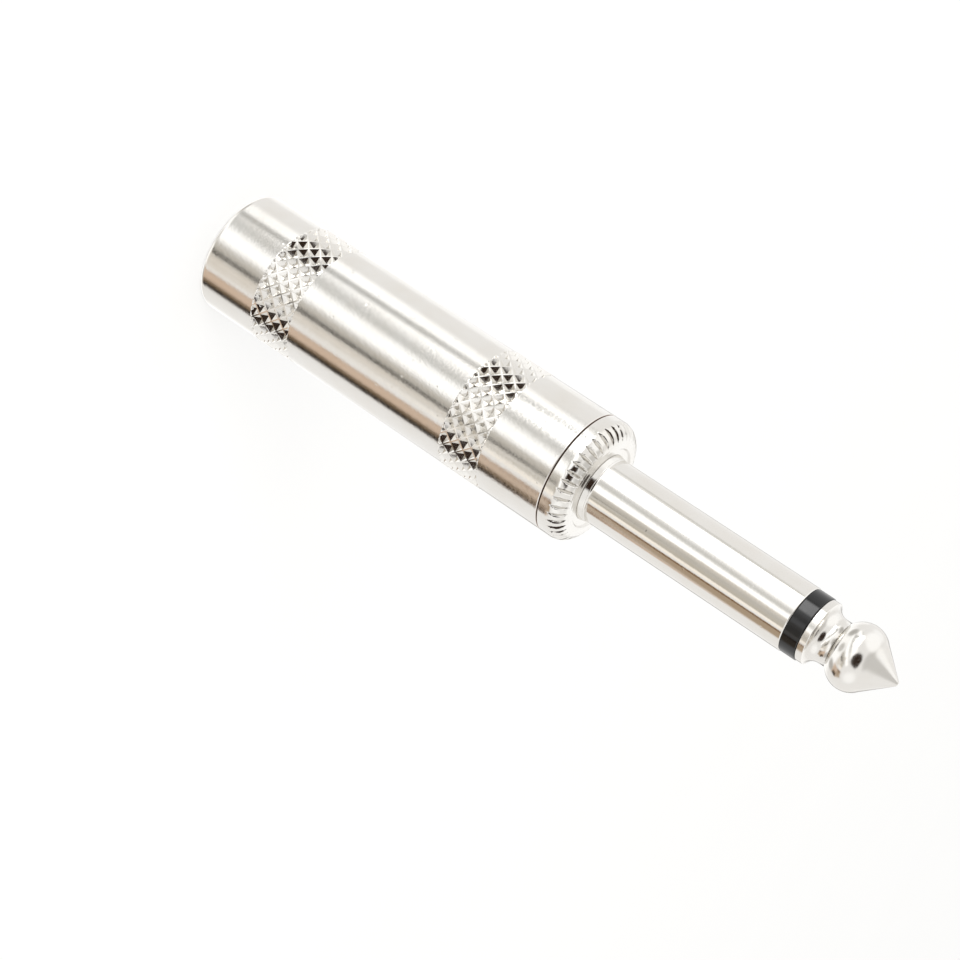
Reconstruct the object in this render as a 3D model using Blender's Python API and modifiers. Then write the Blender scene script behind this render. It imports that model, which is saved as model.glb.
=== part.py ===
"""A 6.35 mm mono jack plug, standing on its cable end with the tip up.

Run it with blender --background --python part.py, or from the text editor.
It makes the turned shell with its two knurled bands, the fluted collar that screws
into it, the finger (sleeve, insulators and tip) and the terminals inside.
The shell stays where it is. Everything else lifts out of it as the collar unscrews.
"""

import math

import bmesh
import bpy
from mathutils import Matrix, Vector

MM = 0.001

# Heights are in millimetres above the shell's rear face, and radii are from the axis.
# The finger's 6.35 mm is the standard size that the rest is measured against.
FINGER_R = 6.35 / 2
BARREL_R = 6.06
SHELL_TOP = 40.9
SEAM_GAP = 0.12
COLLAR_REAR = SHELL_TOP + SEAM_GAP
LIP_TOP = SHELL_TOP + 2.6
RING_LOW = SHELL_TOP + 24.17
RING_TOP = SHELL_TOP + 25.71
TIP_BASE = SHELL_TOP + 25.77
TIP_TOP = SHELL_TOP + 34.2

# The shell: a turned cup with a cable hole in its rear wall and a thread at its mouth.
REAR_EDGE_R = 0.5
CABLE_HOLE_R = 3.5
REAR_WALL = 2.3
BORE_R = 5.12
THREAD_PITCH = 1.0
THREAD_R = 5.24
THREAD_LENGTH = 5.6
THREAD_GAP = 0.08

# The knurl: square pits with their corners along and around the shell, between two
# crossing families of ridges.
KNURL_AROUND = 26
KNURL_HALF_PITCH = math.pi * BARREL_R / KNURL_AROUND
KNURL_RIDGE_R = BARREL_R + 0.04
KNURL_DEPTH = 0.5
KNURL_END_WALL = 0.06
KNURL_LEAST_ROW = 0.2
REAR_BAND = (6.68, 11.14)
REAR_BAND_PITS = 6.97
FRONT_BAND = (29.67, 33.97)
FRONT_BAND_PITS = 30.1

# The collar: flutes run over its rounded shoulder to a plain lip.
FLUTES = 42
FLUTE_DEPTH = 0.3
FLUTE_TURN = math.radians(-2.8)
SHOULDER_R = 1.56
SHOULDER_BASE = LIP_TOP - SHOULDER_R - 0.02
LIP_INNER_R = 4.12
FACE_DISH = 0.18
COLLAR_BORE_R = 3.34
COUNTERBORE_R = 3.95
COUNTERBORE_TOP = SHELL_TOP - 2.2
SPIGOT_REAR = SHELL_TOP - THREAD_LENGTH

# The finger: a tube, a black ring with its inner tube, and the tip with its long rod.
SLEEVE_FOOT_R = 3.4
SLEEVE_FOOT_TOP = SHELL_TOP + 3.1
SLEEVE_SEAT_R = 3.28
SLEEVE_BORE_R = 2.25
SLEEVE_FLARE_R = 3.8
INSULATOR_R = 3.12
INSULATOR_TUBE_R = 2.17
ROD_R = 1.2
ROD_CLEAR_R = 1.28

# The tip's outline, up from its base: a disc, a hollow, a neck, a ball and a cone.
TIP_DISC_R = 3.04
TIP_DISC = 0.68
NECK_R = 2.2
HOLLOW_R = 1.2
BALL_ARC_R = 2.2
BALL_R = 3.16
BALL_HEIGHT = SHELL_TOP + 30.0
CONE_DEG = 42.0
POINT_R = 0.35

# The terminals behind the collar, stacked on the rod and riveted.
SHEET = 0.5
STACK_GAP = 0.12
SLEEVE_LUG_R = 4.25
LUG_HOLE_R = 2.3
LUG_STRIP_WIDTH = 2.6
LUG_STRIP_OUT = 4.1
LUG_BEND_R = 0.3
CLAMP_LOW = 11.5
CLAMP_TOP = 16.5
CLAMP_R = 4.22
CLAMP_SHEET = 0.45
CLAMP_WRAP_DEG = 236.0
BUSH_FLANGE_R = 3.2
BUSH_FLANGE = 0.75
TIP_LUG_R = 2.55
TIP_LUG_WIDTH = 2.2
TIP_LUG_LOW = 24.6
SOLDER_HOLE_R = 0.62
RIVET_R = 1.85

# The liner: a loose insulating tube between the terminals and the shell.
LINER_R = 4.84
LINER_WALL = 0.36
LINER_LOW = 4.25
LINER_TOP = SPIGOT_REAR - 0.2

LUG_TOP = SPIGOT_REAR - STACK_GAP
BUSH_TOP = LUG_TOP - SHEET - STACK_GAP
TIP_LUG_TOP = BUSH_TOP - BUSH_FLANGE - STACK_GAP
WASHER_TOP = TIP_LUG_TOP - SHEET - STACK_GAP
WASHER = 0.4
RIVET_TOP = WASHER_TOP - WASHER - STACK_GAP


def clear_scene():
    """Remove what the scene holds, such as the starting cube, lamp and camera."""
    for thing in list(bpy.data.objects):
        bpy.data.objects.remove(thing, do_unlink=True)


def new_collection(name):
    made = bpy.data.collections.new(name)
    bpy.context.scene.collection.children.link(made)
    return made


def finish(name, color, metallic, roughness):
    """A plain material for one piece: colour as red, green and blue parts of 1."""
    made = bpy.data.materials.new(name)
    made.use_nodes = True
    shader = made.node_tree.nodes["Principled BSDF"]
    shader.inputs["Base Color"].default_value = (*color, 1.0)
    shader.inputs["Metallic"].default_value = metallic
    shader.inputs["Roughness"].default_value = roughness
    return made


def nickel(name, roughness):
    return finish(name, (0.74, 0.725, 0.70), 1.0, roughness)


def tinned(name):
    return finish(name, (0.66, 0.655, 0.64), 1.0, 0.35)


def plastic(name, color, roughness):
    return finish(name, color, 0.0, roughness)


def arc(middle, radius, first, last, steps):
    """Points of an arc in the outline's plane, from one angle to another, in degrees.

    An angle of 0 points away from the axis and 90 points up."""
    turns = [first + (last - first) * i / steps for i in range(steps + 1)]
    return [
        (
            middle[0] + radius * math.cos(math.radians(turn)),
            middle[1] + radius * math.sin(math.radians(turn)),
        )
        for turn in turns
    ]


def add_object(name, data, home, material, base=0.0, parent=None):
    """Put a mesh or curve in a collection, its origin on the axis at a height."""
    piece = bpy.data.objects.new(name, data)
    piece.location = (0.0, 0.0, base * MM)
    home.objects.link(piece)
    if material is not None:
        data.materials.append(material)
    if parent is not None:
        piece.parent = parent
        piece.location.z -= parent.location.z
    return piece


def turned(name, outline, home, material, steps, hollow=False, parent=None):
    """Turn an outline of (radius, height) points about the axis.

    It runs down the outer side first. A hollow one comes back up the inner side and
    closes, and a solid one starts and ends on the axis."""
    base = min(height for _, height in outline)
    shape = bmesh.new()
    points = [shape.verts.new((r * MM, 0.0, (h - base) * MM)) for r, h in outline]
    for near, far in zip(points, points[1:]):
        shape.edges.new((near, far))
    if hollow:
        shape.edges.new((points[-1], points[0]))
    mesh = bpy.data.meshes.new(name)
    shape.to_mesh(mesh)
    shape.free()
    piece = add_object(name, mesh, home, material, base, parent)
    lathe = piece.modifiers.new("Lathe", "SCREW")
    lathe.axis = "Z"
    lathe.angle = math.tau
    lathe.steps = steps
    lathe.render_steps = steps
    lathe.use_merge_vertices = True
    lathe.merge_threshold = 0.000001
    lathe.use_normal_calculate = False
    return piece


def settle(piece):
    """Turn a piece's modifiers, or its curve, into plain mesh that can be worked on."""
    bpy.context.view_layer.update()
    graph = bpy.context.evaluated_depsgraph_get()
    mesh = bpy.data.meshes.new_from_object(piece.evaluated_get(graph))
    mesh.name = piece.name
    if piece.type == "MESH":
        piece.modifiers.clear()
        piece.data = mesh
        return piece
    made = bpy.data.objects.new(piece.name, mesh)
    made.matrix_world = piece.matrix_world.copy()
    piece.users_collection[0].objects.link(made)
    name = piece.name
    bpy.data.objects.remove(piece, do_unlink=True)
    made.name = name
    return made


def split_bent(shape, faces, along):
    """Split bent quads along one diagonal, so that their folds run where they should."""
    bmesh.ops.triangulate(shape, faces=faces, quad_method=along)


def knurl_drop(column, height, pit):
    """How far the knurl lies below its ridges at one column, at a height.

    Pits and crossing ridges take turns along a column, and the drop is even between
    one and the next."""
    row = (height - pit) / KNURL_HALF_PITCH
    below = math.floor(row)
    share = row - below
    drops = [KNURL_DEPTH * ((column + step + 1) % 2) for step in (below, below + 1)]
    return drops[0] * (1.0 - share) + drops[1] * share


def knurl_rows(band, pit):
    """Heights of the knurl's rows in a band, from its upper edge to its lower one."""
    low, high = band
    first = math.ceil((low + KNURL_LEAST_ROW - pit) / KNURL_HALF_PITCH)
    last = math.floor((high - KNURL_LEAST_ROW - pit) / KNURL_HALF_PITCH)
    inner = [pit + row * KNURL_HALF_PITCH for row in range(last, first - 1, -1)]
    return [high] + inner + [low]


def knurl_outline(band, pit):
    """The outline down a knurled band, with a steep wall where the wheel stopped."""
    low, high = band
    rows = [(KNURL_RIDGE_R, height) for height in knurl_rows(band, pit)]
    above = (BARREL_R, high + KNURL_END_WALL)
    below = (BARREL_R, low - KNURL_END_WALL)
    return [above] + rows + [below]


def press_knurl(piece):
    """Sink every second point of the knurled rows, which leaves crossing ridges."""
    shape = bmesh.new()
    shape.from_mesh(piece.data)
    step = math.pi / KNURL_AROUND
    pressed = set()
    for point in shape.verts:
        radius = math.hypot(point.co.x, point.co.y) / MM
        if abs(radius - KNURL_RIDGE_R) > 0.005:
            continue
        height = point.co.z / MM
        column = round(math.atan2(point.co.y, point.co.x) / step)
        in_rear = height < (REAR_BAND[1] + FRONT_BAND[0]) / 2
        pit = REAR_BAND_PITS if in_rear else FRONT_BAND_PITS
        scale = 1.0 - knurl_drop(column, height, pit) / radius
        point.co.x *= scale
        point.co.y *= scale
        pressed.update(point.link_faces)
    split_bent(shape, list(pressed), "LONG_EDGE")
    shape.to_mesh(piece.data)
    shape.free()


def make_shell(home):
    """The knurled shell: one turned piece, open at the mouth and at the cable hole."""
    rounded = arc((BARREL_R - REAR_EDGE_R, REAR_EDGE_R), REAR_EDGE_R, 0, -90, 4)
    lip = arc((CABLE_HOLE_R + 0.25, 0.25), 0.25, 270, 180, 2)
    outside = [(BARREL_R - 0.08, SHELL_TOP), (BARREL_R, SHELL_TOP - 0.08)]
    outside += knurl_outline(FRONT_BAND, FRONT_BAND_PITS)
    outside += knurl_outline(REAR_BAND, REAR_BAND_PITS)
    outside += rounded
    inside = lip + [
        (CABLE_HOLE_R, REAR_WALL),
        (BORE_R, REAR_WALL + BORE_R - CABLE_HOLE_R),
        (BORE_R, SPIGOT_REAR - 0.9),
        (THREAD_R, SPIGOT_REAR - 0.78),
        (THREAD_R, SHELL_TOP - 0.35),
        (THREAD_R + 0.3, SHELL_TOP),
    ]
    steps = 2 * KNURL_AROUND
    material = nickel("satin_nickel_shell", 0.3)
    shell = turned("shell", outside + inside, home, material, steps, hollow=True)
    press_knurl(settle(shell))
    return shell


def shoulder_rows():
    """Rows of the fluted shoulder: an angle on its arc, and how deep a flute is."""
    return [
        (88.0, 0.0),
        (77.0, 0.6 * FLUTE_DEPTH),
        (62.0, FLUTE_DEPTH),
        (46.0, FLUTE_DEPTH),
        (30.0, FLUTE_DEPTH),
        (16.0, 0.75 * FLUTE_DEPTH),
        (7.0, 0.0),
        (0.0, 0.0),
    ]


def cut_flutes(piece):
    """Sink every second column of the shoulder, straight into its curve, then turn it."""
    middle_r = BARREL_R - SHOULDER_R
    step = math.pi / FLUTES
    shape = bmesh.new()
    shape.from_mesh(piece.data)
    base = piece.matrix_world.translation.z / MM
    cut = set()
    for angle, depth in shoulder_rows():
        if depth == 0.0:
            continue
        out = Vector((math.cos(math.radians(angle)), math.sin(math.radians(angle))))
        row_r = middle_r + SHOULDER_R * out.x
        row_height = SHOULDER_BASE + SHOULDER_R * out.y - base
        for point in shape.verts:
            radius = math.hypot(point.co.x, point.co.y) / MM
            column = round(math.atan2(point.co.y, point.co.x) / step)
            on_row = abs(radius - row_r) + abs(point.co.z / MM - row_height) < 0.002
            if not on_row or column % 2 == 0:
                continue
            scale = 1.0 - depth * out.x / radius
            point.co.x *= scale
            point.co.y *= scale
            point.co.z -= depth * out.y * MM
            cut.update(point.link_faces)
    split_bent(shape, list(cut), "SHORT_EDGE")
    shape.transform(Matrix.Rotation(FLUTE_TURN, 4, "Z"))
    shape.to_mesh(piece.data)
    shape.free()


def make_collar(home, axis):
    """The fluted collar and the threaded spigot behind it, turned as one piece."""
    middle = (BARREL_R - SHOULDER_R, SHOULDER_BASE)
    shoulder = []
    for angle, _ in shoulder_rows():
        shoulder += arc(middle, SHOULDER_R, angle, angle, 1)[:1]
    outside = [(LIP_INNER_R, LIP_TOP), (middle[0], LIP_TOP)] + shoulder
    outside += [
        (BARREL_R, COLLAR_REAR),
        (THREAD_R - 0.45, COLLAR_REAR),
        (THREAD_R - 0.45, COLLAR_REAR - 0.7),
        (THREAD_R - THREAD_GAP, COLLAR_REAR - 1.0),
        (THREAD_R - THREAD_GAP, SPIGOT_REAR + 0.35),
        (THREAD_R - 0.45, SPIGOT_REAR),
    ]
    inside = [
        (COUNTERBORE_R, SPIGOT_REAR),
        (COUNTERBORE_R, COUNTERBORE_TOP),
        (COLLAR_BORE_R, COUNTERBORE_TOP),
        (COLLAR_BORE_R, LIP_TOP - FACE_DISH),
    ]
    material = nickel("bright_nickel_collar", 0.24)
    steps = 2 * FLUTES
    collar = turned("collar", outside + inside, home, material, steps, True, axis)
    cut_flutes(settle(collar))
    return collar


def make_sleeve(home, axis):
    """The finger's tube, staked behind the collar's web, with a flared foot before it."""
    rear = COUNTERBORE_TOP - STACK_GAP
    foot_rear = LIP_TOP - FACE_DISH + 0.05
    outline = [
        (FINGER_R - 0.1, RING_LOW - 0.06),
        (FINGER_R, RING_LOW - 0.16),
        (FINGER_R, SLEEVE_FOOT_TOP + 0.04),
        (SLEEVE_FOOT_R - 0.12, SLEEVE_FOOT_TOP - 0.25),
        (SLEEVE_FOOT_R, foot_rear),
        (SLEEVE_SEAT_R, foot_rear),
        (SLEEVE_SEAT_R, rear),
        (SLEEVE_FLARE_R, rear),
        (SLEEVE_FLARE_R, rear - 0.35),
        (SLEEVE_SEAT_R, rear - 0.75),
        (SLEEVE_BORE_R, rear - 0.75),
        (SLEEVE_BORE_R, RING_LOW - 0.06),
    ]
    material = nickel("bright_nickel_sleeve", 0.16)
    return turned("sleeve", outline, home, material, 44, True, axis)


def make_tip_insulator(home, axis):
    """The black ring before the tip and the tube that keeps rod and sleeve apart."""
    outline = [
        (INSULATOR_R - 0.06, RING_TOP),
        (INSULATOR_R, RING_TOP - 0.06),
        (INSULATOR_R, RING_LOW + 0.06),
        (INSULATOR_R - 0.06, RING_LOW),
        (INSULATOR_TUBE_R, RING_LOW),
        (INSULATOR_TUBE_R, SPIGOT_REAR + 1.7),
        (ROD_CLEAR_R, SPIGOT_REAR + 1.7),
        (ROD_CLEAR_R, RING_TOP),
    ]
    material = plastic("gloss_black_plastic", (0.012, 0.012, 0.013), 0.22)
    return turned("tip_insulator", outline, home, material, 40, True, axis)


def tip_outline():
    """The tip from its point down to its base: point, cone, ball, neck and hollow."""
    ball_middle = (BALL_R - BALL_ARC_R, BALL_HEIGHT)
    neck_deg = -math.degrees(math.acos((NECK_R - ball_middle[0]) / BALL_ARC_R))
    point = arc((0.0, TIP_TOP - POINT_R), POINT_R, 90, 90 - CONE_DEG, 3)
    ball = arc(ball_middle, BALL_ARC_R, 90 - CONE_DEG, neck_deg, 8)
    hollow_height = TIP_BASE + TIP_DISC + 1.13
    hollow = arc((NECK_R + HOLLOW_R, hollow_height), HOLLOW_R, 180, 250, 4)
    disc = [(TIP_DISC_R, TIP_BASE + TIP_DISC), (TIP_DISC_R, TIP_BASE)]
    return point + ball + hollow + disc


def make_tip_contact(home, axis):
    """The tip and its rod, turned as one piece and riveted over the rear washer."""
    outline = tip_outline()
    outline += [
        (ROD_R, TIP_BASE),
        (ROD_R, RIVET_TOP),
        (RIVET_R, RIVET_TOP),
        (RIVET_R - 0.25, RIVET_TOP - 0.45),
        (0.9, RIVET_TOP - 0.7),
        (0.0, RIVET_TOP - 0.78),
    ]
    material = nickel("mirror_nickel_tip", 0.08)
    return turned("tip_contact", outline, home, material, 40, False, axis)


def make_rear_bush(home, axis):
    """The flanged insulating bush that keeps the rod clear of the sleeve's lug."""
    outline = [
        (LUG_HOLE_R - 0.12, SPIGOT_REAR + 1.45),
        (LUG_HOLE_R - 0.12, BUSH_TOP),
        (BUSH_FLANGE_R, BUSH_TOP),
        (BUSH_FLANGE_R, BUSH_TOP - BUSH_FLANGE),
        (ROD_CLEAR_R, BUSH_TOP - BUSH_FLANGE),
        (ROD_CLEAR_R, SPIGOT_REAR + 1.45),
    ]
    material = plastic("brown_fibre", (0.10, 0.035, 0.016), 0.6)
    return turned("rear_bush", outline, home, material, 32, True, axis)


def make_rivet_washer(home, axis):
    """The plain washer under the riveted end of the rod."""
    outline = [
        (RIVET_R + 0.35, WASHER_TOP),
        (RIVET_R + 0.35, WASHER_TOP - WASHER),
        (ROD_CLEAR_R, WASHER_TOP - WASHER),
        (ROD_CLEAR_R, WASHER_TOP),
    ]
    return turned("rivet_washer", outline, home, tinned("tinned_washer"), 32, True, axis)


def make_liner(home, axis):
    """The loose insulating tube that lines the shell round the terminals."""
    outline = [
        (LINER_R, LINER_TOP),
        (LINER_R, LINER_LOW),
        (LINER_R - LINER_WALL, LINER_LOW),
        (LINER_R - LINER_WALL, LINER_TOP),
    ]
    material = plastic("clear_grey_liner", (0.62, 0.63, 0.62), 0.35)
    return turned("liner", outline, home, material, 40, True, axis)


def flat_shape(name, outlines, thickness, home, material=None):
    """Cut a flat shape, holes and all, from sheet of a thickness."""
    curve = bpy.data.curves.new(name, "CURVE")
    curve.dimensions = "2D"
    curve.fill_mode = "BOTH"
    curve.extrude = thickness / 2 * MM
    for outline in outlines:
        spline = curve.splines.new("POLY")
        spline.points.add(len(outline) - 1)
        for point, (across, along) in zip(spline.points, outline):
            point.co = (across * MM, along * MM, 0.0, 1.0)
        spline.use_cyclic_u = True
    piece = settle(add_object(name, curve, home, material))
    shape = bmesh.new()
    shape.from_mesh(piece.data)
    bmesh.ops.remove_doubles(shape, verts=shape.verts, dist=0.0000001)
    bmesh.ops.recalc_face_normals(shape, faces=shape.faces)
    shape.to_mesh(piece.data)
    shape.free()
    return piece


def helper(piece):
    """Mark a shape that only adds to or cuts another piece."""
    piece.hide_render = True
    piece.display_type = "WIRE"
    return piece


def combine(piece, other, operation):
    change = piece.modifiers.new(other.name, "BOOLEAN")
    change.operation = operation
    change.solver = "EXACT"
    change.object = other


def bent_strip(name, start, reach, top, low, width, home, material):
    """A strip of sheet that runs outwards from a start and bends down to the rear.

    Its side outline lies in the plane of the axis, and its width is across it."""
    outer = LUG_BEND_R + SHEET
    corner = (reach - outer, top - outer)
    outline = [(start, top)] + arc(corner, outer, 90, 0, 4)
    outline += [(reach, low), (reach - SHEET, low)]
    outline += arc(corner, LUG_BEND_R, 0, 90, 3)
    outline += [(start, top - SHEET)]
    strip = flat_shape(name, [outline], width, home, material)
    strip.data.transform(Matrix.Rotation(math.radians(90), 4, "X"))
    return strip


def drill(name, height, out, home):
    """A cutter for a solder hole through a strip that stands away from the axis."""
    bpy.ops.mesh.primitive_cylinder_add(
        vertices=20, radius=SOLDER_HOLE_R * MM, depth=2.4 * MM
    )
    cutter = bpy.context.object
    cutter.name = name
    cutter.rotation_euler.y = math.radians(90)
    cutter.location = (out * MM, 0.0, height * MM)
    for old in list(cutter.users_collection):
        old.objects.unlink(cutter)
    home.objects.link(cutter)
    return helper(cutter)


def ring_outline(radius, steps):
    return arc((0.0, 0.0), radius, 0, 360 - 360 / steps, steps - 1)


def turn_to(piece, degrees, axis):
    """Face a finished terminal one way round the axis, and hang it from the insert."""
    piece.rotation_euler.z = math.radians(degrees)
    piece.parent = axis
    piece.location.z = -axis.location.z


def make_sleeve_lug(home, helpers, axis):
    """The sleeve's terminal, stamped in one: a ring, a long strip and a cable clamp."""
    material = tinned("tinned_sleeve_lug")
    start = LUG_HOLE_R + 0.3
    reach = LUG_STRIP_OUT
    low = CLAMP_LOW + 0.2
    lug = bent_strip(
        "sleeve_lug", start, reach, LUG_TOP, low, LUG_STRIP_WIDTH, home, material
    )
    rings = [ring_outline(SLEEVE_LUG_R, 32), ring_outline(LUG_HOLE_R, 24)]
    ring = helper(flat_shape("sleeve_lug_ring", rings, SHEET, helpers))
    ring.location.z = (LUG_TOP - SHEET / 2) * MM
    half = CLAMP_WRAP_DEG / 2
    wrap = arc((0.0, 0.0), CLAMP_R, -half, half, 20)
    wrap += arc((0.0, 0.0), CLAMP_R - CLAMP_SHEET, half, -half, 20)
    clamp = helper(flat_shape("cable_clamp", [wrap], CLAMP_TOP - CLAMP_LOW, helpers))
    clamp.location.z = (CLAMP_LOW + CLAMP_TOP) / 2 * MM
    hole = drill("sleeve_solder_hole", CLAMP_TOP + 5.0, reach, helpers)
    combine(lug, ring, "UNION")
    combine(lug, clamp, "UNION")
    combine(lug, hole, "DIFFERENCE")
    settle(lug)
    turn_to(lug, -90.0, axis)
    return lug


def make_tip_lug(home, helpers, axis):
    """The tip's terminal: a ring on the rod and a short strip with a solder hole."""
    material = tinned("tinned_tip_lug")
    start = ROD_CLEAR_R + 0.5
    reach = TIP_LUG_R + 0.25
    low = TIP_LUG_LOW
    lug = bent_strip(
        "tip_lug", start, reach, TIP_LUG_TOP, low, TIP_LUG_WIDTH, home, material
    )
    rings = [ring_outline(TIP_LUG_R, 28), ring_outline(ROD_CLEAR_R, 20)]
    ring = helper(flat_shape("tip_lug_ring", rings, SHEET, helpers))
    ring.location.z = (TIP_LUG_TOP - SHEET / 2) * MM
    hole = drill("tip_solder_hole", TIP_LUG_LOW + 2.0, reach, helpers)
    combine(lug, ring, "UNION")
    combine(lug, hole, "DIFFERENCE")
    settle(lug)
    turn_to(lug, 90.0, axis)
    return lug


def add_axis(name, height, home):
    """An empty on the plug's axis, for the pieces that turn and lift together."""
    axis = bpy.data.objects.new(name, None)
    axis.empty_display_size = 5 * MM
    axis.location.z = height * MM
    home.objects.link(axis)
    bpy.context.view_layer.update()
    return axis


def main():
    clear_scene()
    home = new_collection("mono_jack_plug")
    helpers = new_collection("helper_shapes")
    liner_axis = add_axis("liner_axis", LINER_LOW, home)
    insert_axis = add_axis("insert_axis", SHELL_TOP, home)
    make_shell(home)
    make_liner(home, liner_axis)
    make_collar(home, insert_axis)
    make_sleeve(home, insert_axis)
    make_tip_insulator(home, insert_axis)
    make_tip_contact(home, insert_axis)
    make_sleeve_lug(home, helpers, insert_axis)
    make_rear_bush(home, insert_axis)
    make_tip_lug(home, helpers, insert_axis)
    make_rivet_washer(home, insert_axis)


main()
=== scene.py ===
import math

import bpy
import numpy as np
from mathutils import Matrix, Vector


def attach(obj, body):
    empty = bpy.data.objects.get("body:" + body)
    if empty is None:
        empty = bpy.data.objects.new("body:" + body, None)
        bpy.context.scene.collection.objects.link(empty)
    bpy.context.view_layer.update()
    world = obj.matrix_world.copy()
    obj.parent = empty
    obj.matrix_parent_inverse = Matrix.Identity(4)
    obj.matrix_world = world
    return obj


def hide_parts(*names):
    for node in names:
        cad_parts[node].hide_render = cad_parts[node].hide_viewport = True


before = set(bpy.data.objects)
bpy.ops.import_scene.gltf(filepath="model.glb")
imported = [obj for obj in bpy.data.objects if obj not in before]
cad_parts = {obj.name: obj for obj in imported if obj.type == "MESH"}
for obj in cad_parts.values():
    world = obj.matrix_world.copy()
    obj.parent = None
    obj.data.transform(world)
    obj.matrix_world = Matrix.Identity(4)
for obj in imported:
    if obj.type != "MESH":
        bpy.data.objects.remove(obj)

bl_info = {
    "name": "Mono jack plug",
    "version": (1, 0, 0),
    "blender": (4, 5, 0),
    "location": "View3D > Sidebar > Jack plug",
    "description": "A nickel-plated 6.35 mm mono jack plug, piece by piece, and a pale studio",
    "category": "Add Mesh",
}

# One millimetre, in Blender's metres.
MM = 0.001

# Places on the plug's axis, in millimetres above the shell's rear face.
SHELL_TOP = 40.9
COLLAR_REAR = SHELL_TOP + 0.1
LIP_TOP = SHELL_TOP + 2.6
SPIGOT_REAR = SHELL_TOP - 5.6
COUNTERBORE_TOP = SHELL_TOP - 2.2
RING_LOW = SHELL_TOP + 24.17
RING_TOP = SHELL_TOP + 25.71
TIP_BASE = SHELL_TOP + 25.73
TIP_TOP = SHELL_TOP + 34.2

# The stack behind the spigot, from the top: a terminal, the bush's flange, a terminal and
# the washer, with the rivet last.
STACK_GAP = 0.12
TERMINAL_THICK = 0.5
FLANGE_THICK = 0.75
WASHER_THICK = 0.4
FLANGE_TOP = SPIGOT_REAR - STACK_GAP - TERMINAL_THICK - STACK_GAP
WASHER_TOP = FLANGE_TOP - FLANGE_THICK - STACK_GAP - TERMINAL_THICK - STACK_GAP
RIVET_TOP = WASHER_TOP - WASHER_THICK - STACK_GAP

# Radii in millimetres.
BARREL_R = 6.06
FINGER_R = 6.35 / 2
BORE_R = 5.12
THREAD_R = 5.24
THREAD_GAP = 0.08
LIP_R = 4.4
ROD_R = 1.2
ROD_HOLE_R = 1.28

# Each band of knurl: its lower and upper ends, and the height of one row of its pits.
KNURL_BANDS = ((29.67, 33.97, 30.1), (6.68, 11.14, 6.97))
KNURL_AROUND = 26
# The ridges stand a little proud of the barrel. At a band's end the cut starts beyond it,
# and is at its full depth a step inside it.
KNURL_RISE = 0.03
KNURL_RUN_OUT = 0.1
KNURL_STEP = 0.02

# How many flutes the collar has, and how far the first is turned about the axis.
FLUTES = 42
FLUTE_TURN = math.radians(-2.8)

# Edges that turn by more than this are drawn sharp.
SHARP_EDGE = math.radians(28.0)

# A rounded corner of an outline is a curve of 4 steps, with one more point at each side.
CORNER_STEPS = 4
CORNER_ROWS = CORNER_STEPS + 3


def tied_to(kind, name, text, value, **limits):
    """One setting: its kind of property, its name and description, and its default."""
    return kind(name=name, description=text, default=value, **limits)


def length(name, text, millimetres, most):
    """A setting given in millimetres, with the most that it may be, and kept in metres."""
    return tied_to(
        bpy.props.FloatProperty,
        name,
        text,
        millimetres * MM,
        min=0.0,
        max=most * MM,
        precision=5,
        unit="LENGTH",
    )


def share(name, text, value):
    """A setting from 0 to 1."""
    return tied_to(
        bpy.props.FloatProperty, name, text, value, min=0.0, max=1.0, subtype="FACTOR"
    )


def linear(hex_colour):
    """An sRGB hex colour as linear red, green and blue parts of 1."""
    parts = np.array([int(hex_colour[i : i + 2], 16) for i in (1, 3, 5)]) / 255.0
    low = parts / 12.92
    high = ((parts + 0.055) / 1.055) ** 2.4
    return tuple(float(part) for part in np.where(parts <= 0.04045, low, high))


def colour(name, text, hex_colour):
    """A colour setting, given as sRGB hex and kept linear."""
    return tied_to(
        bpy.props.FloatVectorProperty,
        name,
        text,
        linear(hex_colour),
        size=3,
        min=0.0,
        max=1.0,
        subtype="COLOR",
    )


class JackPlugShape(bpy.types.PropertyGroup):
    """Sizes of the tooled surfaces."""

    knurl_depth: length("Knurl depth", "From the ridges to the pits' bottoms", 0.5, 0.6)
    knurl_land: share("Knurl land", "Share of a pit's half width that its ridge takes", 0.125)
    flute_depth: length("Flute depth", "How deep the collar's flutes are", 0.3, 0.5)
    flute_width: share("Flute width", "Share of the pitch that a flute takes", 0.44)
    thread_pitch: length("Thread pitch", "Rise of the shell's thread in one turn", 1.0, 1.5)
    thread_depth: length("Thread depth", "Half of the thread's height", 0.22, 0.3)


class JackPlugFinish(bpy.types.PropertyGroup):
    """Colours and polish of the materials."""

    nickel: colour("Nickel", "Bright nickel plating", "#E3E1DD")
    nickel_warm: colour("Aged nickel", "Where the plating has yellowed a little", "#DEDAD3")
    barrel_rough: share("Shell roughness", "How satin the shell is", 0.13)
    finger_rough: share("Finger roughness", "How satin the finger is", 0.09)
    tip_rough: share("Tip roughness", "How satin the tip is", 0.15)
    ring: colour("Ring", "Black insulating ring", "#0C0C0D")
    fibre: colour("Fibre", "Brown insulating bush", "#5A3524")
    tin: colour("Tin", "Tinned terminals", "#D2D1CE")
    liner: colour("Liner", "Milky insulating tube", "#D5D7D4")


class JackPlugStage(bpy.types.PropertyGroup):
    """The floor and the light."""

    floor: colour("Floor", "Pale floor", "#F7F7F6")
    surroundings: share("Surroundings", "Light that comes from all round", 0.8)
    lamp: tied_to(
        bpy.props.FloatProperty,
        "Lamp",
        "Power of the soft lamp",
        2.0,
        min=0.0,
        max=20.0,
        subtype="POWER",
        unit="POWER",
    )


# Meshes


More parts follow.
